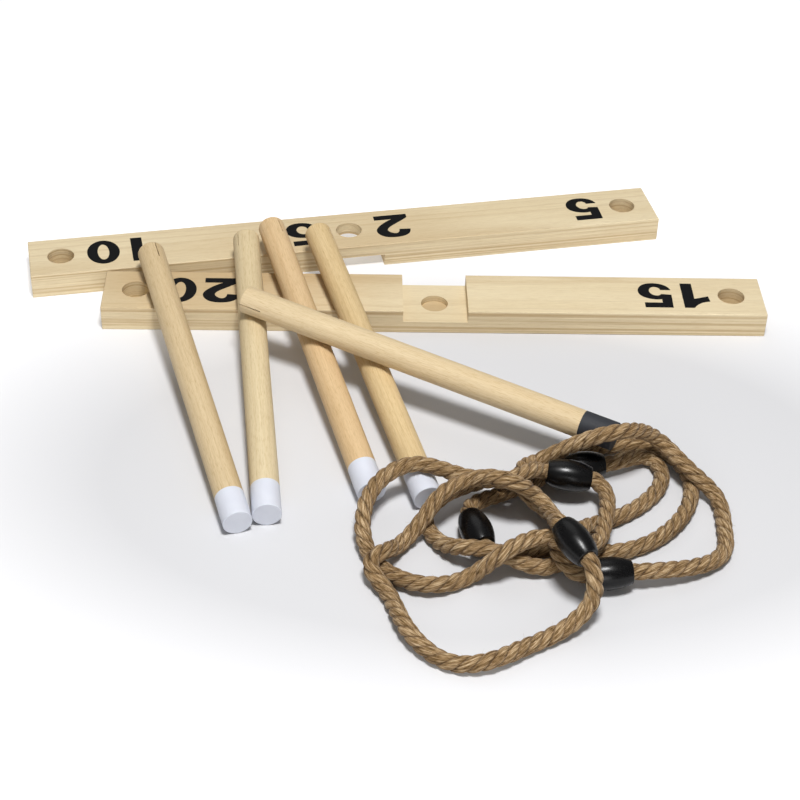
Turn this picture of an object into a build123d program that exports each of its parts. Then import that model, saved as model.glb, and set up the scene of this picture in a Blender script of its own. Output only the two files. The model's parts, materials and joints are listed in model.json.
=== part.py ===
from build123d import *
from math import cos, radians, sin
import os

os.makedirs("parts", exist_ok=True)

# Lawn ring toss set, laid out unassembled on the ground: two half-lapped beams,
# five pegs and five rope rings.  Millimetres.
# Origin: centre of the under beam, on the floor.  +X along that beam, +Z up.
# The players' side, where the pegs' painted tips lie, is -Y.

# ---- driving dimensions ----
BEAM_LENGTH = 600
BEAM_WIDTH = 58
BEAM_HEIGHT = 24
EDGE_BREAK = 1.0
LAP_WIDTH = BEAM_WIDTH + 0.6
LAP_DEPTH = BEAM_HEIGHT / 2
SOCKET_RADIUS = 12.3
SOCKET_DEPTH = 18
SOCKET_SPACING = 271          # centre of the beam to each end socket
UNDER_CENTRE_DEPTH = 6        # blind socket below the lap floor

OVERCUT = 2                   # how far cutting tools reach past the wood

OVER_X, OVER_Y, OVER_TURN = -78.5, 102, 10.6   # where the over beam lies

PEG_RADIUS = 12
PEG_LENGTH = 348
PEG_SOCKET_CHAMFER = 2.5
PEG_TIP_BREAK = 0.6
SLIT_WIDTH = 1.0
SLIT_LENGTH = 22
COAT_LENGTH = 29              # painted tip
COAT_THICKNESS = 0.2

ROPE_RADIUS = 5.75
SLEEVE_LENGTH = 36            # barrel that joins a ring's two rope ends
SLEEVE_MID_RADIUS = 12.8
SLEEVE_END_RADIUS = 9
SLEEVE_BORE_RADIUS = 6.3
ROPE_END_GAP = 2              # each rope end stops this far from the sleeve's middle
SLEEVE_LIP = 1.0
RING_LIFT = 0.15              # keeps the lowest turns just clear of the floor

INK = 0.2
DIGIT_HEIGHT = 38


# ---- beams ----
def beam(name, lap_on_top):
    """One beam with softened edges, its half lap and its three sockets."""
    with BuildPart() as body:
        with Locations((0, 0, BEAM_HEIGHT / 2)):
            Box(BEAM_LENGTH, BEAM_WIDTH, BEAM_HEIGHT)
        fillet(body.edges(), EDGE_BREAK)
        lap_z = BEAM_HEIGHT - LAP_DEPTH / 2 if lap_on_top else LAP_DEPTH / 2
        with Locations((0, 0, lap_z)):
            Box(LAP_WIDTH, BEAM_WIDTH + OVERCUT, LAP_DEPTH, mode=Mode.SUBTRACT)
        with Locations((-SOCKET_SPACING, 0, BEAM_HEIGHT), (SOCKET_SPACING, 0, BEAM_HEIGHT)):
            Cylinder(SOCKET_RADIUS, SOCKET_DEPTH, align=(Align.CENTER, Align.CENTER, Align.MAX),
                     mode=Mode.SUBTRACT)
        centre_top = LAP_DEPTH if lap_on_top else BEAM_HEIGHT
        centre_depth = UNDER_CENTRE_DEPTH if lap_on_top else LAP_DEPTH
        with Locations((0, 0, centre_top)):
            Cylinder(SOCKET_RADIUS, centre_depth, align=(Align.CENTER, Align.CENTER, Align.MAX),
                     mode=Mode.SUBTRACT)
    body.part.label = name
    return body


OVER_PLACE = Location((OVER_X, OVER_Y, 0), (0, 0, OVER_TURN))

under_beam = beam("under_beam", lap_on_top=True)
export_step(under_beam.part, "parts/under_beam.step")

over_beam = beam("over_beam", lap_on_top=False)
over_beam.part.locate(OVER_PLACE)
export_step(over_beam.part, "parts/over_beam.step")


# ---- printed scores ----
# Each digit is drawn upright from its lower left corner, then centred.
def centred(sketch, width):
    return sketch.moved(Location((-width / 2, -DIGIT_HEIGHT / 2, 0)))


def draw_zero():
    with BuildSketch() as digit:
        Ellipse(15, DIGIT_HEIGHT / 2)
        Ellipse(5.3, 12.5, mode=Mode.SUBTRACT)
    return digit.sketch


def draw_one():
    with BuildSketch() as digit:
        with BuildLine():
            Polyline((15.5, 38), (24.5, 38), (24.5, 0), (14, 0), (14, 24), (1, 20), (0, 28))
            Spline((0, 28), (9, 31), (15.5, 38))
        make_face()
    return centred(digit.sketch, 24.5)


def draw_two():
    with BuildSketch() as digit:
        with BuildLine():
            Polyline((0, 4.5), (0, 0), (32, 0), (32, 7), (15, 7))
            Spline((15, 7), (27, 15.5), (33, 26.5), (28, 35), (17, 38), (5, 35), (0.5, 26))
            Line((0.5, 26), (11, 25))
            Spline((11, 25), (16.5, 31.5), (22, 26.5), (15.5, 17), (0, 4.5))
        make_face()
    return centred(digit.sketch, 33)


def draw_five():
    with BuildSketch() as digit:
        with BuildLine():
            Polyline((0, 18), (0.5, 38), (26, 38), (26, 30.5), (9.5, 30.5), (9.5, 25))
            Spline((9.5, 25), (20, 24.5), (29, 18), (30, 10), (25, 2.5), (15.5, 0), (6, 2.5), (0, 10.5))
            Line((0, 10.5), (9.5, 10.5))
            Spline((9.5, 10.5), (11.5, 6.8), (15.5, 5.7), (20, 12), (16, 18.8), (12, 19.3), (9.5, 17))
            Line((9.5, 17), (0, 18))
        make_face()
    return centred(digit.sketch, 30)


DIGITS = {"0": draw_zero(), "1": draw_one(), "2": draw_two(), "5": draw_five()}


def score(name, marks, place):
    """Ink film for one score; the numbers read from the far side of the beam."""
    with BuildPart() as film:
        with BuildSketch(Plane((0, 0, BEAM_HEIGHT))):
            for digit, x in marks:
                add(DIGITS[digit].moved(Location((x, 0, 0), (0, 0, 180))))
        extrude(amount=INK)
    film.part.label = name
    film.part.locate(place)
    export_step(film.part, "parts/" + name + ".step")


UNDER_PLACE = Location((0, 0, 0))

score("score_20", [("0", -231), ("2", -193.5)], UNDER_PLACE)
score("score_15", [("5", 201.3), ("1", 238.3)], UNDER_PLACE)
score("score_10", [("0", -231.7), ("1", -193.3)], OVER_PLACE)
score("score_25", [("5", -44.2), ("2", 42.4)], OVER_PLACE)
score("score_5", [("5", 231.7)], OVER_PLACE)


# ---- pegs ----
# Each peg: where its tip's lowest point is, the heading it points to away from the tip,
# its tilt, and how far its slit is rolled to the right of upright, in degrees.
def peg_plane(foot_x, foot_y, lift, heading, tilt):
    """Plane at the painted end; +Z runs along the peg to its slit end."""
    run = cos(radians(tilt))
    along = Vector(run * cos(radians(heading)), run * sin(radians(heading)), sin(radians(tilt)))
    across = Vector(sin(radians(heading)), -cos(radians(heading)), 0)
    return Plane(origin=(foot_x, foot_y, lift + PEG_RADIUS * run), x_dir=across, z_dir=along)


def make_peg(number, plane, slit_roll):
    """A dowel, slit at its socket end, with its painted tip as a separate thin coat."""
    with BuildPart() as dowel:
        Cylinder(PEG_RADIUS, PEG_LENGTH, align=(Align.CENTER, Align.CENTER, Align.MIN))
        fillet(dowel.edges().group_by(Axis.Z)[-1], PEG_SOCKET_CHAMFER)
        with BuildSketch(Plane.XY):
            Circle(PEG_RADIUS)
            Circle(PEG_RADIUS - COAT_THICKNESS, mode=Mode.SUBTRACT)
        extrude(amount=COAT_LENGTH, mode=Mode.SUBTRACT)
        with BuildSketch(Plane.XY):
            Circle(PEG_RADIUS)
        extrude(amount=COAT_THICKNESS, mode=Mode.SUBTRACT)
        slit_middle = PEG_LENGTH - SLIT_LENGTH / 2
        with Locations(Location((0, 0, slit_middle), (0, 0, slit_roll))):
            Box(SLIT_WIDTH, 2 * PEG_RADIUS + OVERCUT, SLIT_LENGTH, mode=Mode.SUBTRACT)
    with BuildPart() as coat:
        Cylinder(PEG_RADIUS, COAT_LENGTH, align=(Align.CENTER, Align.CENTER, Align.MIN))
        fillet(coat.edges().group_by(Axis.Z)[0], PEG_TIP_BREAK)
        with BuildSketch(Plane((0, 0, COAT_THICKNESS))):
            Circle(PEG_RADIUS - COAT_THICKNESS)
        extrude(amount=COAT_LENGTH, mode=Mode.SUBTRACT)
    place = plane.location
    for name, item in (("peg_" + number, dowel), ("peg_coat_" + number, coat)):
        item.part.label = name
        item.part.locate(place)
        export_step(item.part, "parts/" + name + ".step")


PEGS = {
    "1": (peg_plane(-164.5, -299.3, 0.1, 105.9, 5.0), 20),
    "2": (peg_plane(-142.0, -289.8, 0.1, 95.2, 5.3), -40),
    "3": (peg_plane(-59.2, -262.3, 0.1, 105.4, 5.8), 30),
    "4": (peg_plane(-14.1, -268.5, 0.1, 105.7, 5.55), 45),
    "5": (peg_plane(138.3, -223.1, 28.2, 152.1, 2.9), -80),
}
for peg_number, (peg_place, roll) in PEGS.items():
    make_peg(peg_number, peg_place, roll)


# ---- rope rings ----
def sleeve_plane(middle, heading, tilt):
    """Plane across a sleeve's middle; +Z runs along the sleeve."""
    run = cos(radians(tilt))
    along = Vector(run * cos(radians(heading)), run * sin(radians(heading)), sin(radians(tilt)))
    return Plane(origin=Vector(*middle) + Vector(0, 0, RING_LIFT), z_dir=along)


def make_rope(name, plane, passes):
    """Rope from inside one mouth of the sleeve, through the points it passes, to the other."""
    def on_axis(distance):
        return plane.origin + plane.z_dir * distance

    mouth = SLEEVE_LENGTH / 2
    points = [on_axis(ROPE_END_GAP), on_axis(mouth)]
    points += [Vector(x, y, z + RING_LIFT) for x, y, z in passes]
    points += [on_axis(-mouth), on_axis(-ROPE_END_GAP)]
    with BuildPart() as rope:
        with BuildLine() as path:
            Line(points[0], points[1])
            Spline(*points[1:-1], tangents=(plane.z_dir, plane.z_dir), tangent_scalars=(1, 1))
            Line(points[-2], points[-1])
        with BuildSketch(Plane(origin=points[0], z_dir=plane.z_dir)):
            Circle(ROPE_RADIUS)
        sweep(path=path.wires()[0], is_frenet=True)
    rope.part.label = name
    export_step(rope.part, "parts/" + name + ".step")


def make_sleeve(name, plane):
    """Barrel with rounded lips and a bore the rope ends are pushed into."""
    half = SLEEVE_LENGTH / 2
    with BuildPart() as sleeve:
        with BuildSketch(Plane.XZ):
            with BuildLine():
                ThreePointArc((SLEEVE_END_RADIUS, half), (SLEEVE_MID_RADIUS, 0),
                              (SLEEVE_END_RADIUS, -half))
                Polyline((SLEEVE_END_RADIUS, -half), (SLEEVE_BORE_RADIUS, -half),
                         (SLEEVE_BORE_RADIUS, half), (SLEEVE_END_RADIUS, half))
            make_face()
        revolve(axis=Axis.Z)
        fillet(sleeve.edges().group_by(Axis.Z)[0], SLEEVE_LIP)
        fillet(sleeve.edges().group_by(Axis.Z)[-1], SLEEVE_LIP)
    sleeve.part.label = name
    sleeve.part.locate(plane.location)
    export_step(sleeve.part, "parts/" + name + ".step")


# The heap from the floor up: sleeve middle, heading, tilt, then the points the rope passes.
RINGS = {
    "1": ((22.5, -308, 13.5), -74, 1,
          [(45, -332, 12), (90, -319, 6), (113, -323, 6), (146, -319, 6), (199, -226, 7),
           (186, -206, 8), (105, -204, 6), (83, -219, 7), (67, -240, 6), (49, -255, 7)]),
    "2": ((113, -229.5, 13), 11, -1,
          [(174, -213, 7), (179, -225, 6), (171, -252, 6), (126, -289, 7), (111, -299, 11),
           (103, -317, 19), (96, -333, 15), (79, -342, 8), (30, -339, 22), (10, -332, 18),
           (-12, -305, 6), (-17, -291, 11), (-7, -282, 22), (15, -260, 17), (40, -257, 22),
           (64, -254, 15)]),
    "3": ((121, -357, 15), 5, 1,
          [(217, -320, 6), (221, -292, 6), (218, -257, 9), (202, -244, 19), (178, -213, 27),
           (142, -234, 55), (99, -231, 35), (74, -232, 20), (61, -253, 29), (59, -266, 27),
           (79, -278, 9), (87, -297, 12), (85, -346, 21)]),
    "4": ((99, -254, 25), -6, -6,
          [(125, -260, 19), (127, -286, 19), (122, -308, 18), (112, -332, 22), (87, -344, 37),
           (72, -334, 31), (40, -350, 29), (16, -352, 7), (-9, -364, 9), (-61, -329, 7),
           (-60, -277, 26), (-50, -263, 29), (-25, -250, 32), (1, -257, 31), (28, -267, 31),
           (50, -276, 40), (68, -262, 37)]),
    "5": ((91.5, -361, 51.5), -61, -8,
          [(105, -388, 37), (104, -393, 23), (89, -406, 11), (53, -427, 7), (22, -444, 9),
           (0, -443, 6), (-37, -405, 10), (-51, -365, 7), (-60, -346, 17), (-53, -340, 19),
           (-39, -320, 8), (-21, -302, 17), (-5, -288, 33), (14, -274, 35), (38, -282, 46),
           (54, -287, 44), (69, -284, 30), (82, -330, 43)]),
}
for ring_number, (middle, heading, tilt, passes) in RINGS.items():
    across_sleeve = sleeve_plane(middle, heading, tilt)
    make_rope("rope_" + ring_number, across_sleeve, passes)
    make_sleeve("sleeve_" + ring_number, across_sleeve)
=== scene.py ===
import json
import math

import bpy
import numpy as np
from mathutils import Matrix, Vector


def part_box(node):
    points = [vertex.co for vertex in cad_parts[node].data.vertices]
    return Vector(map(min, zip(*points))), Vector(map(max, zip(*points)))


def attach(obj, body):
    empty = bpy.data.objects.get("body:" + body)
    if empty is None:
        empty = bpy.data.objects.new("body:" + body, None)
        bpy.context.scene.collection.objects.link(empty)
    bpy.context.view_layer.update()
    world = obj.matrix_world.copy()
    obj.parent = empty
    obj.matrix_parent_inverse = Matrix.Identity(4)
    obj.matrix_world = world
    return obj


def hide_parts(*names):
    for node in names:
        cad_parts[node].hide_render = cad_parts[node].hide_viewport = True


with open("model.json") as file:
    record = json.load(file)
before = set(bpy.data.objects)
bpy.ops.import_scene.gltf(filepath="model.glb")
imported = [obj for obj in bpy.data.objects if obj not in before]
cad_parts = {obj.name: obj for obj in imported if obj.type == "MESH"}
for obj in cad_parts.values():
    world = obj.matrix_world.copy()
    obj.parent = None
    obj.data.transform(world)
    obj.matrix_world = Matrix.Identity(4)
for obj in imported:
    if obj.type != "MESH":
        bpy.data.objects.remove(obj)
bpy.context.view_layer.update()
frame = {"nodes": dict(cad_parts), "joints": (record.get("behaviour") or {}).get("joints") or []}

# The looks of the ring toss set: wood, paint, ink and plastic on the CAD pieces, and laid rope
# with loose fibres in place of each plain CAD rope.  Metres, in the CAD model's own frame:
# +X along the under beam, +Z up, the players' side with the painted tips towards -Y.

NODES = frame["nodes"]
UP = Vector((0, 0, 1))
RING_NUMBERS = range(1, 6)

# ---- rope ----
ROPE_RADIUS = 0.00575
SLEEVE_HALF = 0.018
LAY_LENGTH = 0.032            # one full turn of a strand
STRANDS = 3
STRAND_OFFSET = 0.00348       # strand centre from the rope's centre
STRAND_DEEP = 0.00316         # half thickness of a strand, towards the rope's centre
STRAND_WIDE = 0.00386         # half width of a strand, round the rope
STRAND_AROUND = 36            # points round a strand
YARNS = 11                    # yarns round one strand
YARN_TWIST = 0.026            # length in which a yarn turns once round its strand
YARN_RELIEF = 0.00016         # how far the yarns stand out
GRAIN_RELIEF = 0.00008        # roughness from point to point
WANDER_RELIEF = 0.00016       # slow change of a strand's thickness along it
SMOOTHING_PASSES = 6          # evens out the middle line found in the CAD rope

# ---- finding the middle line of a CAD rope ----
WALK_STEP = 0.001             # spacing of the points found along a rope
WALK_START = 0.0025           # first and last points, from the sleeve's middle
WALK_END = 0.0028
SEARCH_RANGE = 0.03           # edges further off than this belong to other turns
SKIN_TOLERANCE = 0.0007       # how far a hit may be from the rope's radius
FEWEST_HITS = 6
CENTRING_STEPS = 4
SHORTEST_WALK = 60            # steps before the far end is looked for
LONGEST_WALK = 900

# ---- loose fibres ----
FUZZ_PER_ROPE = 560
FUZZ_LENGTH = (0.0025, 0.0065)
FUZZ_THICKNESS = (0.00006, 0.00010)
FUZZ_SEGMENTS = 5
FUZZ_CORNERS = 3              # points round a fibre
FUZZ_SINK = 0.0009            # how far below the rope's surface a fibre starts
FUZZ_CURL = 0.35
MOUTH_SHARE = 8               # one fibre in this many stands beside a sleeve's mouth
FLOOR_CLEARANCE = 0.0002

# ---- light and floor ----
SKY_STRENGTH = 0.18
KEY_PLACE, KEY_SIZE, KEY_POWER = (0.05, -0.75, 2.0), 0.45, 42
BACK_PLACE, BACK_SIZE, BACK_POWER = (-0.4, 1.6, 2.6), 2.4, 10
FRONT_PLACE, FRONT_SIZE, FRONT_POWER = (0.0, -3.0, 0.6), 1.4, 16
KEY_TARGET = (0, -0.15, 0)
FILL_TARGET = (0, -0.1, 0)
FLOOR_HALF = 6
# painted light: an emission glow on the floor outside a pool round the set, so the set's shadows
# show only inside the pool
POOL_CENTRE = (0.03, -0.22)   # the floor glows all round this pool, which the set shades
POOL_SQUEEZE = 0.62           # the pool is this much shorter across than it is wide
POOL_INNER, POOL_OUTER = 0.19, 0.36
FLOOR_GLOW = 0.50

# ---- camera ----
CAMERA_PLACE = (-0.0853, -1.3767, 0.9905)
CAMERA_HEADING = math.radians(2.37)   # from +Y towards +X
CAMERA_PITCH = math.radians(38.38)    # below level
CAMERA_ROLL = math.radians(2.03)
CAMERA_LENS = 83.2                    # millimetres, on a sensor 36 mm wide
CAMERA_SENSOR = 36


# ---- small helpers for node materials ----
def rgb(red, green, blue):
    """Display colour 0..255 to the linear colour that shaders use."""
    linear = []
    for value in (red, green, blue):
        share = value / 255
        linear.append(((share + 0.055) / 1.055) ** 2.4 if share > 0.04 else share / 12.92)
    return tuple(linear)


def grey(level):
    return (level, level, level)


class Shader:
    """A material under construction: adds nodes and links them in one call."""

    def __init__(self, name):
        self.material = bpy.data.materials.new(name)
        self.material.use_nodes = True
        self.tree = self.material.node_tree
        self.surface = self.tree.nodes["Principled BSDF"]

    def link(self, source, target):
        self.tree.links.new(source, target)

    def set(self, socket, value):
        """Links a socket or sets a value; a colour gets its alpha added."""
        if hasattr(value, "is_linked"):
            self.link(value, socket)
        elif isinstance(value, tuple):
            socket.default_value = (*value, 1)
        else:
            socket.default_value = value

    def attribute(self, name):
        node = self.tree.nodes.new("ShaderNodeAttribute")
        node.attribute_name = name
        return node.outputs["Vector"]

    def object_place(self):
        return self.tree.nodes.new("ShaderNodeTexCoord").outputs["Object"]

    def noise(self, vector, stretch, detail=2.0, rough=0.5, shift=(0, 0, 0)):
        """Noise of 0..1 that changes fastest along the axes with the largest stretch."""
        mapping = self.tree.nodes.new("ShaderNodeMapping")
        self.link(vector, mapping.inputs["Vector"])
        mapping.inputs["Scale"].default_value = stretch
        mapping.inputs["Location"].default_value = shift
        node = self.tree.nodes.new("ShaderNodeTexNoise")
        self.link(mapping.outputs["Vector"], node.inputs["Vector"])
        node.inputs["Scale"].default_value = 1.0
        node.inputs["Detail"].default_value = detail
        node.inputs["Roughness"].default_value = rough
        return node.outputs["Fac"]

    def math(self, kind, a, b=0.0, c=0.0):
        node = self.tree.nodes.new("ShaderNodeMath")
        node.operation = kind
        self.set(node.inputs[0], a)
        self.set(node.inputs[1], b)
        self.set(node.inputs[2], c)
        return node.outputs[0]

    def add(self, a, b):
        return self.math("ADD", a, b)

    def subtract(self, a, b):
        return self.math("SUBTRACT", a, b)

    def times(self, a, b):
        return self.math("MULTIPLY", a, b)

    def scaled(self, value, scale, offset):
        return self.math("MULTIPLY_ADD", value, scale, offset)

    def distance(self, a, b):
        """How far the point (a, b) is from zero."""
        return self.math("SQRT", self.add(self.times(a, a), self.times(b, b)))

    def parts(self, vector):
        node = self.tree.nodes.new("ShaderNodeSeparateXYZ")
        self.link(vector, node.inputs[0])
        return node.outputs

    def ramp(self, value, *stops):
        node = self.tree.nodes.new("ShaderNodeValToRGB")
        self.link(value, node.inputs["Fac"])
        points = node.color_ramp.elements
        while len(points) < len(stops):
            points.new(0.5)
        for point, (place, color) in zip(points, stops):
            point.position = place
            point.color = (*color, 1)
        return node.outputs["Color"]

    def mix(self, share, a, b, kind="MIX"):
        node = self.tree.nodes.new("ShaderNodeMix")
        node.data_type = "RGBA"
        node.blend_type = kind
        self.set(node.inputs[0], share)
        self.set(node.inputs[6], a)
        self.set(node.inputs[7], b)
        return node.outputs[2]

    def tint(self, color, by):
        return self.mix(1.0, color, by, "MULTIPLY")

    def bump(self, height, distance, strength=1.0):
        node = self.tree.nodes.new("ShaderNodeBump")
        self.link(height, node.inputs["Height"])
        node.inputs["Distance"].default_value = distance
        node.inputs["Strength"].default_value = strength
        self.link(node.outputs["Normal"], self.surface.inputs["Normal"])

    def finish(self, color, roughness, specular):
        self.set(self.surface.inputs["Base Color"], color)
        self.set(self.surface.inputs["Roughness"], roughness)
        self.surface.inputs["Specular IOR Level"].default_value = specular
        return self.material


# ---- small helpers for meshes ----
def vertex_points(obj):
    """Every vertex of a mesh object, as rows of x, y, z."""
    points = np.empty(len(obj.data.vertices) * 3)
    obj.data.vertices.foreach_get("co", points)
    return points.reshape(-1, 3)


def store_vectors(mesh, name, values):
    """Keeps one vector for each vertex, where a material can read it by name."""
    layer = mesh.attributes.new(name, "FLOAT_VECTOR", "POINT")
    layer.data.foreach_set("vector", np.ascontiguousarray(values, float).ravel())


def new_object(name, data):
    obj = bpy.data.objects.new(name, data)
    bpy.context.scene.collection.objects.link(obj)
    return obj


def dress(node, material):
    """Gives a CAD node its one material."""
    obj = NODES[node]
    obj.data.materials.clear()
    obj.data.materials.append(material)
    return obj


def smooth_by_angle(obj, degrees):
    """Rounds the shading except across edges sharper than this."""
    obj.data.shade_smooth()
    obj.data.set_sharp_from_angle(angle=math.radians(degrees))


def unit_rows(vectors):
    return vectors / np.linalg.norm(vectors, axis=1)[:, None]


# ---- wood ----
PINE_PALE = rgb(226, 211, 178)
PINE_MID = rgb(220, 203, 168)
PINE_LINE = rgb(184, 156, 114)
PINE_FLECK = (0.93, 0.90, 0.86)
PEG_TONES = ((210, 189, 152), (220, 204, 169), (217, 189, 148), (216, 192, 148), (218, 199, 164))
PEG_FLECK = (0.84, 0.79, 0.71)


def late_wood(s, grain, pith, ring_width):
    """How much of the dark late wood of a growth ring shows, 0..1."""
    drift = s.noise(grain, (2.2, 14, 14), detail=1.0)
    _, across, up = s.parts(grain)
    y = s.subtract(across, pith[0])
    z = s.subtract(up, pith[1])
    y = s.add(y, s.times(s.subtract(drift, 0.5), 0.006))
    far = s.distance(y, z)
    wobble = s.noise(grain, (5, 90, 90))
    rings = s.add(s.math("DIVIDE", far, ring_width), s.times(wobble, 0.9))
    ring = s.math("FRACT", rings)
    each = s.noise(grain, (1.2, 55, 55), detail=0.0)
    late = s.ramp(ring, (0.0, grey(0)), (0.62, grey(0.12)), (0.90, grey(1)), (1.0, grey(0)))
    return s.times(late, s.scaled(each, 1.5, -0.25))


def wood_material(name, pale, mid, line, pith, ring_width, ring_share, side_share, fleck):
    """Straight-grained softwood: growth rings round a pith line beside the piece.

    Reads "grain", each point's place in its own piece: along, across, up.
    """
    s = Shader(name)
    grain = s.attribute("grain")
    late = late_wood(s, grain, pith, ring_width)
    # fine lines that follow the height, so they show on the sides and not on the top
    side = s.ramp(s.noise(grain, (1.4, 6, 420)), (0.47, grey(0)), (0.62, grey(1)))
    broad = s.ramp(s.noise(grain, (3.5, 45, 45)), (0.35, grey(0)), (0.68, grey(1)))
    fibre = s.noise(grain, (38, 1500, 1500), detail=3.0, rough=0.6)
    pores = s.noise(grain, (140, 2600, 2600), detail=1.0, shift=(3, 1, 2))
    color = s.mix(broad, pale, mid)
    color = s.mix(s.times(late, ring_share), color, line)
    color = s.mix(s.times(side, side_share), color, line)
    color = s.tint(color, s.ramp(fibre, (0.3, (0.91, 0.89, 0.86)), (0.7, (1.05, 1.05, 1.04))))
    color = s.tint(color, s.ramp(pores, (0.56, grey(1)), (0.68, fleck)))
    s.bump(s.add(fibre, s.times(late, 0.3)), 0.0001, 0.5)
    return s.finish(color, s.scaled(fibre, 0.25, 0.45), 0.25)


def grain_frame(obj, origin, along, up, shift):
    """Stores every vertex's place in the piece's own axes, moved by shift for variety."""
    along = along.normalized()
    across = up.cross(along).normalized()
    up = along.cross(across)
    local = (vertex_points(obj) - np.array(origin)) @ np.array([along, across, up]).T
    store_vectors(obj.data, "grain", local + np.array(shift))


def joint_axis(name):
    joint = next(j for j in frame["joints"] if j["name"] == name)
    return Vector(joint["axis"])


def dress_beams():
    look = dict(pale=PINE_PALE, mid=PINE_MID, line=PINE_LINE, fleck=PINE_FLECK,
                ring_share=0.35, side_share=0.7)
    under_wood = wood_material("pine_under", pith=(0.020, -0.075), ring_width=0.0046, **look)
    over_wood = wood_material("pine_over", pith=(-0.030, 0.085), ring_width=0.0052, **look)
    under = dress("under_beam", under_wood)
    grain_frame(under, (0, 0, 0), Vector((1, 0, 0)), UP, (0.4, 0, 0))
    over = dress("over_beam", over_wood)
    # the over beam slides square to its own length
    back = joint_axis("over_beam_slide")
    low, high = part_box("over_beam")
    middle = (low + high) / 2
    grain_frame(over, (middle.x, middle.y, 0), Vector((back.y, -back.x, 0)), UP, (3.1, 0, 0))
    for beam in (under, over):
        smooth_by_angle(beam, 35)


# ---- pegs ----
def main_axis(obj):
    """Middle and long direction of a slender mesh."""
    points = vertex_points(obj)
    middle = (points.min(axis=0) + points.max(axis=0)) / 2
    _, _, rows = np.linalg.svd(points - points.mean(axis=0), full_matrices=False)
    along = rows[0] * (1 if rows[0][1] > 0 else -1)
    return Vector(middle), Vector(along)


def paint_material(name, color, roughness):
    """Brushed-on paint: slight ripples along the peg and faint patches of tone."""
    s = Shader(name)
    grain = s.attribute("grain")
    ripples = s.noise(grain, (160, 500, 500), detail=3.0, rough=0.6)
    patch = s.noise(grain, (60, 80, 80), detail=1.0)
    tone = s.ramp(patch, (0.3, (0.95, 0.95, 0.96)), (0.7, grey(1)))
    s.bump(ripples, 0.00012, 0.6)
    return s.finish(s.tint(color, tone), s.scaled(ripples, 0.3, roughness), 0.4)


def dress_pegs():
    white = paint_material("white_paint", rgb(213, 216, 225), 0.4)
    black = paint_material("black_paint", rgb(46, 48, 53), 0.5)
    for number, (red, green, blue) in enumerate(PEG_TONES, start=1):
        wood = wood_material("peg_wood_%d" % number,
                             pale=rgb(red, green, blue),
                             mid=rgb(red - 7, green - 9, blue - 11),
                             line=rgb(red - 24, green - 32, blue - 38),
                             pith=(0.018, 0.030), ring_width=0.0043,
                             ring_share=0.4, side_share=0.0, fleck=PEG_FLECK)
        peg = dress("peg_%d" % number, wood)
        coat = dress("peg_coat_%d" % number, black if number == 5 else white)
        middle, along = main_axis(peg)
        rolled_up = Matrix.Rotation(number * 1.3, 3, along) @ UP
        for obj in (peg, coat):
            grain_frame(obj, middle, along, rolled_up, (number * 0.7, 0, 0))
            smooth_by_angle(obj, 40)


# ---- printed scores ----
def dress_scores():
    s = Shader("ink")
    fine = s.noise(s.object_place(), (900, 900, 900), detail=3.0, rough=0.7)
    color = s.ramp(fine, (0.25, rgb(8, 8, 9)), (0.75, rgb(24, 24, 26)))
    s.bump(fine, 0.00006, 0.5)
    ink = s.finish(color, s.scaled(fine, 0.2, 0.55), 0.12)
    for node in NODES:
        if node.startswith("score_"):
            dress(node, ink)


# ---- the middle line of a CAD rope ----
def mesh_edges(obj):
    """Both ends of every edge of a mesh, as two arrays of points."""
    points = vertex_points(obj)
    ends = np.empty(len(obj.data.edges) * 2, int)
    obj.data.edges.foreach_get("vertices", ends)
    ends = ends.reshape(-1, 2)
    return points[ends[:, 0]], points[ends[:, 1]]


def section_centre(first, second, place, along):
    """Centre of the tube's round section through place, or None past its end."""
    near = np.abs((first + second) / 2 - place).max(axis=1) < SEARCH_RANGE
    a = first[near]
    b = second[near]
    height_a = (a - place) @ along
    height_b = (b - place) @ along
    crossing = height_a * height_b < 0
    a, b = a[crossing], b[crossing]
    share = height_a[crossing] / (height_a[crossing] - height_b[crossing])
    hits = a + (b - a) * share[:, None]
    away = np.linalg.norm(hits - place, axis=1)
    hits = hits[np.abs(away - ROPE_RADIUS) < SKIN_TOLERANCE]
    if len(hits) < FEWEST_HITS:
        return None
    centre = place.copy()
    for _ in range(CENTRING_STEPS):
        spokes = hits - centre
        lengths = np.linalg.norm(spokes, axis=1)
        units = spokes / lengths[:, None]
        step, *_ = np.linalg.lstsq(units, lengths - ROPE_RADIUS, rcond=None)
        step -= along * (step @ along)
        centre = centre + step
    return centre


def rope_path(rope, sleeve):
    """Points along the middle of a CAD rope, from one end inside the sleeve to the other."""
    first, second = mesh_edges(rope)
    low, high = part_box(sleeve.name)
    middle = np.array((low + high) / 2)
    # A barrel spreads equally both ways across its bore, so the odd direction is the bore.
    values, vectors = np.linalg.eigh(np.cov((vertex_points(sleeve) - middle).T))
    along = vectors[:, np.argmax(np.abs(values - np.median(values)))]
    place = middle + along * WALK_START
    path = [place]
    while len(path) < LONGEST_WALK:
        guess = place + along * WALK_STEP
        centre = section_centre(first, second, guess, along)
        if centre is None:
            break
        along = centre - place
        along /= np.linalg.norm(along)
        place = place + along * WALK_STEP
        path.append(place)
        if len(path) > SHORTEST_WALK and np.linalg.norm(place - middle) < WALK_END:
            break
    return np.array(path)


def smoothed(path, passes):
    path = path.copy()
    for _ in range(passes):
        path[1:-1] = path[1:-1] * 0.5 + (path[:-2] + path[2:]) * 0.25
    return path


def turning_frames(path):
    """Tangent and two side directions at each point that never spin about the path."""
    tangents = unit_rows(np.gradient(path, axis=0))
    side = np.cross(tangents[0], [0, 0, 1])
    side /= np.linalg.norm(side)
    sides = []
    for tangent in tangents:
        side = side - tangent * (side @ tangent)
        side /= np.linalg.norm(side)
        sides.append(side)
    sides = np.array(sides)
    return tangents, sides, np.cross(tangents, sides)


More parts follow.
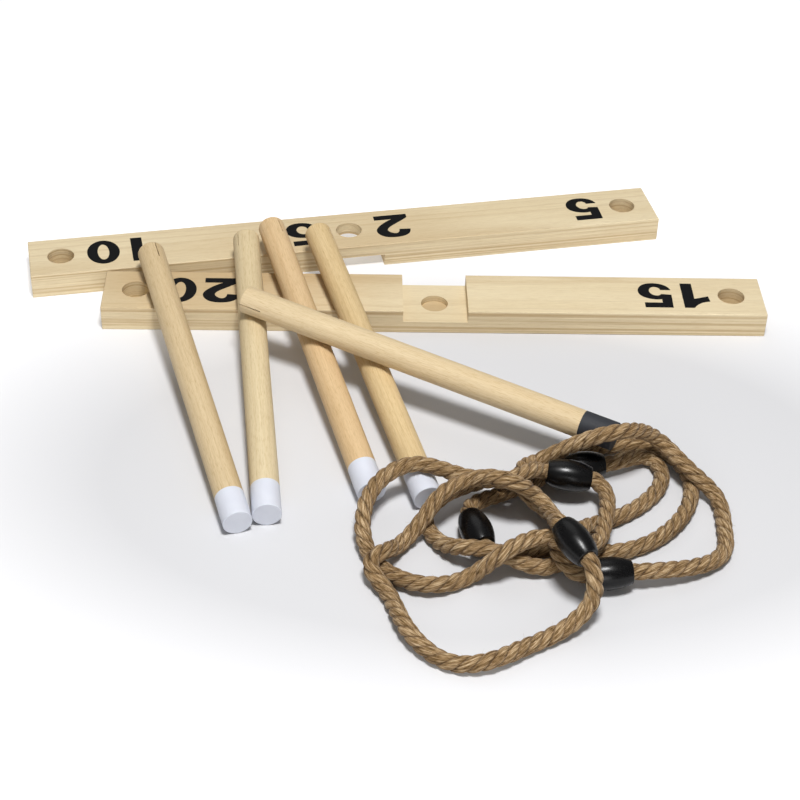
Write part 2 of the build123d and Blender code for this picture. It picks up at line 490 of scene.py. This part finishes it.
# ---- laid rope ----
def ripple(length, waves, random):
    """A smooth random wave along a rope, about -1..1."""
    at = np.linspace(0, 1, length)
    total = np.zeros(length)
    for _ in range(waves):
        total += np.sin(2 * math.pi * (at * random.uniform(6, 60) + random.uniform(0, 1)))
    return total / waves * 1.4


def strand_axes(path, frames, angle):
    """Middle line of a strand, and its outward and sideways directions at each point."""
    _, sides, ups = frames
    out = np.cos(angle)[:, None] * sides + np.sin(angle)[:, None] * ups
    centre = path + out * STRAND_OFFSET
    ahead = unit_rows(np.gradient(centre, axis=0))
    out = unit_rows(out - ahead * (out * ahead).sum(axis=1)[:, None])
    return centre, out, np.cross(ahead, out)


def strand_relief(ridge, random):
    """How far the surface stands out at each point: yarns, roughness and slow swelling."""
    count = len(ridge)
    wander = ripple(count, 5, random)[:, None]
    grain = random.normal(0, 1, (count, STRAND_AROUND))
    grain = (grain + np.roll(grain, 1, 0) + np.roll(grain, -1, 0)) / 3
    return YARN_RELIEF * (ridge - 0.6) + GRAIN_RELIEF * grain + WANDER_RELIEF * wander


def strand(path, frames, turn, random):
    """One strand: rings of points, and what the material reads at each of them.

    fibre is a place on the strand (along, round, deep).  shade is how far out the point is on
    the rope and how high on its yarn, both read by the material for painted shade in the hollows,
    and a random value for its ring that is kept but not read.
    """
    run = np.arange(len(path)) * WALK_STEP
    centre, out, wide = strand_axes(path, frames, turn - 2 * math.pi * run / LAY_LENGTH)
    phi = np.linspace(-math.pi, math.pi, STRAND_AROUND, endpoint=False)
    # yarns turn the other way round the strand, so they end up nearly along the rope
    turn_back = phi[None, :] - 2 * math.pi * run[:, None] / YARN_TWIST
    ridge = np.abs(np.sin(turn_back * YARNS / 2))
    relief = strand_relief(ridge, random)
    deep = STRAND_DEEP + relief
    broad = STRAND_WIDE + relief
    rings = (centre[:, None, :] + (deep * np.cos(phi))[:, :, None] * out[:, None, :]
             + (broad * np.sin(phi))[:, :, None] * wide[:, None, :])
    shape = rings.shape[:2]
    inward = 0.3 * np.cos(phi)[None, :] + turn * 0.5
    fibre = np.stack([np.broadcast_to(run[:, None], shape), turn_back * 0.0033,
                      np.broadcast_to(inward, shape)], axis=2)
    # crest and ridge become painted shade: darker towards the hollows between strands and between
    # yarns
    crest = np.cos(phi) * 0.5 + 0.5
    chance = random.uniform(0, 1, (len(path), 1))
    shade = np.stack([np.broadcast_to(crest[None, :], shape), ridge,
                      np.broadcast_to(chance, shape)], axis=2)
    return rings, fibre, shade


def build_mesh(name, vertices, faces, vectors, material):
    mesh = bpy.data.meshes.new(name)
    mesh.from_pydata(vertices.tolist(), [], faces)
    mesh.polygons.foreach_set("use_smooth", [True] * len(mesh.polygons))
    for layer_name, values in vectors.items():
        store_vectors(mesh, layer_name, values)
    mesh.materials.append(material)
    mesh.update()
    return new_object(name, mesh)


def tube_faces(count, around, start):
    """Faces of a closed tube of count rings, whose first point is number start."""
    faces = []
    for i in range(count - 1):
        for j in range(around):
            k = (j + 1) % around
            faces.append((start + i * around + j, start + i * around + k,
                          start + (i + 1) * around + k, start + (i + 1) * around + j))
    faces.append(tuple(start + j for j in reversed(range(around))))
    faces.append(tuple(start + (count - 1) * around + j for j in range(around)))
    return faces


def make_rope(number, path, frames, material):
    """Three strands laid round the middle line, in place of the plain CAD rope."""
    random = np.random.default_rng(100 + number)
    points, fibres, shades, faces = [], [], [], []
    start = 0
    for index in range(STRANDS):
        turn = number + index * 2 * math.pi / STRANDS
        rings, fibre, shade = strand(path, frames, turn, random)
        faces += tube_faces(len(rings), STRAND_AROUND, start)
        start += len(rings) * STRAND_AROUND
        points.append(rings.reshape(-1, 3))
        fibres.append(fibre.reshape(-1, 3))
        shades.append(shade.reshape(-1, 3))
    vectors = {"fibre": np.concatenate(fibres) + (number * 1.7, 0, 0),
               "shade": np.concatenate(shades)}
    obj = build_mesh("laid_rope_%d" % number, np.concatenate(points), faces, vectors, material)
    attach(obj, "ring_%d" % number)
    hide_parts("rope_%d" % number)


# ---- loose fibres ----
def fibre_start(index, path, frames, random):
    """Where a loose fibre leaves the rope, the way it heads, and the way out of the rope."""
    tangents, sides, ups = frames
    mouth = int(SLEEVE_HALF / WALK_STEP)
    count = len(path)
    if index % MOUTH_SHARE == 0:
        at = mouth + int(random.uniform(0, 5))
        at = at if random.random() < 0.5 else count - 1 - at
    else:
        at = int(random.uniform(mouth + 2, count - mouth - 3))
    angle = random.uniform(0, 2 * math.pi)
    out = math.cos(angle) * sides[at] + math.sin(angle) * ups[at]
    heading = tangents[at] * random.choice([-1, 1]) * random.uniform(0.5, 1.0)
    heading = heading + out * random.uniform(0.15, 0.7)
    heading /= np.linalg.norm(heading)
    return path[at] + out * (ROPE_RADIUS - FUZZ_SINK), heading, out


def make_fuzz(number, path, frames, material):
    """Short loose fibres standing off the rope, more of them beside the sleeve's mouths."""
    random = np.random.default_rng(500 + number)
    vertices, faces, fibres, shades = [], [], [], []
    for index in range(FUZZ_PER_ROPE):
        place, heading, out = fibre_start(index, path, frames, random)
        curl = random.normal(0, FUZZ_CURL, 3)
        length = random.uniform(*FUZZ_LENGTH)
        thick = random.uniform(*FUZZ_THICKNESS)
        faces += tube_faces(FUZZ_SEGMENTS + 1, FUZZ_CORNERS, len(vertices))
        for step in range(FUZZ_SEGMENTS + 1):
            share = step / FUZZ_SEGMENTS
            across = np.cross(heading, out)
            across /= np.linalg.norm(across)
            lift = np.cross(across, heading)
            for corner in range(FUZZ_CORNERS):
                turn = corner * 2 * math.pi / FUZZ_CORNERS
                spoke = math.cos(turn) * across + math.sin(turn) * lift
                vertices.append(place + thick * (1 - 0.7 * share) * spoke)
                fibres.append((index * 0.013 + share * length, 0, 0.5))
                shades.append((1, 1, random.random()))
            heading = heading + curl * 0.25
            heading /= np.linalg.norm(heading)
            place = place + heading * length / FUZZ_SEGMENTS
            place[2] = max(place[2], FLOOR_CLEARANCE)
    vectors = {"fibre": np.array(fibres), "shade": np.array(shades)}
    obj = build_mesh("loose_fibres_%d" % number, np.array(vertices), faces, vectors, material)
    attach(obj, "ring_%d" % number)


ROPE_DARK = rgb(70, 50, 28)
ROPE_BROWN = rgb(130, 103, 68)
ROPE_TAN = rgb(166, 139, 103)
ROPE_LIGHT = rgb(210, 188, 154)


def rope_material():
    """Dull tan fibre: fine streaks along the yarns, with painted shade in the hollows between
    strands and between yarns.
    """
    s = Shader("natural_rope")
    fibre = s.attribute("fibre")
    crest, ridge, _ = s.parts(s.attribute("shade"))
    streak = s.noise(fibre, (240, 2400, 3), detail=3.0, rough=0.7)
    coarse = s.noise(fibre, (90, 800, 2), shift=(4, 2, 1))
    blotch = s.noise(fibre, (30, 20, 1))
    value = s.add(s.times(streak, 0.6), s.times(coarse, 0.4))
    color = s.ramp(value, (0.38, ROPE_DARK), (0.47, ROPE_BROWN), (0.55, ROPE_TAN),
                   (0.63, ROPE_LIGHT))
    color = s.tint(color, s.ramp(blotch, (0.3, (0.88, 0.86, 0.83)), (0.7, grey(1.06))))
    # painted shade: darkest where the strand turns in towards the rope's middle, in the hollows
    # between strands
    color = s.tint(color, s.ramp(crest, (0.46, (0.14, 0.11, 0.08)), (0.70, (0.76, 0.73, 0.70)),
                                 (0.94, grey(1))))
    # painted shade in the valleys between yarns
    color = s.tint(color, s.ramp(ridge, (0.0, (0.80, 0.77, 0.72)), (0.35, grey(1))))
    s.bump(value, 0.0006)
    s.surface.inputs["Sheen Weight"].default_value = 0.10
    return s.finish(color, 0.85, 0.15)


def make_rings():
    material = rope_material()
    for number in RING_NUMBERS:
        rope = NODES["rope_%d" % number]
        sleeve = NODES["sleeve_%d" % number]
        path = smoothed(rope_path(rope, sleeve), SMOOTHING_PASSES)
        frames = turning_frames(path)
        make_rope(number, path, frames, material)
        make_fuzz(number, path, frames, material)


def dress_sleeves():
    s = Shader("glossy_black_plastic")
    place = s.object_place()
    flow = s.noise(place, (90, 90, 90))
    dust = s.noise(place, (1500, 1500, 1500))
    color = s.ramp(dust, (0.50, rgb(5, 5, 6)), (0.85, rgb(26, 25, 24)))
    rough = s.add(s.times(flow, 0.14), s.scaled(dust, 0.12, 0.15))
    s.bump(flow, 0.0002, 0.4)
    plastic = s.finish(color, rough, 0.30)
    for number in RING_NUMBERS:
        smooth_by_angle(dress("sleeve_%d" % number, plastic), 50)


# ---- setting ----
def floor_material():
    """White with painted light: the floor glows away from the set, standing in for the light on a
    lit studio sweep.
    """
    s = Shader("floor_white_painted_glow")
    x, y, _ = s.parts(s.object_place())
    x = s.times(s.subtract(x, POOL_CENTRE[0]), POOL_SQUEEZE)
    y = s.subtract(y, POOL_CENTRE[1])
    # painted light: no glow inside the pool, rising to full glow outside it
    glow = s.ramp(s.distance(x, y), (POOL_INNER, grey(0)), (POOL_OUTER, grey(1)))
    s.set(s.surface.inputs["Emission Color"], grey(1))
    s.set(s.surface.inputs["Emission Strength"], s.times(glow, FLOOR_GLOW))
    return s.finish(rgb(210, 210, 212), 0.8, 0.1)


def make_floor():
    corners = [(x * FLOOR_HALF, y * FLOOR_HALF, 0) for x, y in ((-1, -1), (1, -1), (1, 1), (-1, 1))]
    mesh = bpy.data.meshes.new("floor")
    mesh.from_pydata(corners, [], [(0, 1, 2, 3)])
    mesh.materials.append(floor_material())
    new_object("floor", mesh)


def area_light(name, place, target, size, power):
    data = bpy.data.lights.new(name, "AREA")
    data.shape = "DISK"
    data.size = size
    data.energy = power
    light = new_object(name, data)
    light.location = place
    light.rotation_euler = (Vector(target) - Vector(place)).to_track_quat("-Z", "Y").to_euler()


def make_light():
    world = bpy.data.worlds.new("studio")
    world.use_nodes = True
    sky = world.node_tree.nodes["Background"]
    sky.inputs["Color"].default_value = (1, 1, 1, 1)
    sky.inputs["Strength"].default_value = SKY_STRENGTH
    bpy.context.scene.world = world
    area_light("key", KEY_PLACE, KEY_TARGET, KEY_SIZE, KEY_POWER)
    area_light("back", BACK_PLACE, FILL_TARGET, BACK_SIZE, BACK_POWER)
    area_light("front", FRONT_PLACE, FILL_TARGET, FRONT_SIZE, FRONT_POWER)


def make_camera():
    flat = Vector((math.sin(CAMERA_HEADING), math.cos(CAMERA_HEADING), 0))
    look = flat * math.cos(CAMERA_PITCH) - UP * math.sin(CAMERA_PITCH)
    right = look.cross(UP).normalized()
    above = right.cross(look)
    right_rolled = right * math.cos(CAMERA_ROLL) + above * math.sin(CAMERA_ROLL)
    above_rolled = above * math.cos(CAMERA_ROLL) - right * math.sin(CAMERA_ROLL)
    data = bpy.data.cameras.new("camera")
    data.sensor_width = CAMERA_SENSOR
    data.lens = CAMERA_LENS
    camera = new_object("camera", data)
    axes = Matrix((right_rolled, above_rolled, -look)).transposed().to_4x4()
    camera.matrix_world = Matrix.Translation(CAMERA_PLACE) @ axes
    bpy.context.scene.camera = camera


dress_beams()
dress_pegs()
dress_scores()
dress_sleeves()
make_rings()
make_floor()
make_light()
make_camera()
bpy.context.scene.view_settings.view_transform = "Standard"
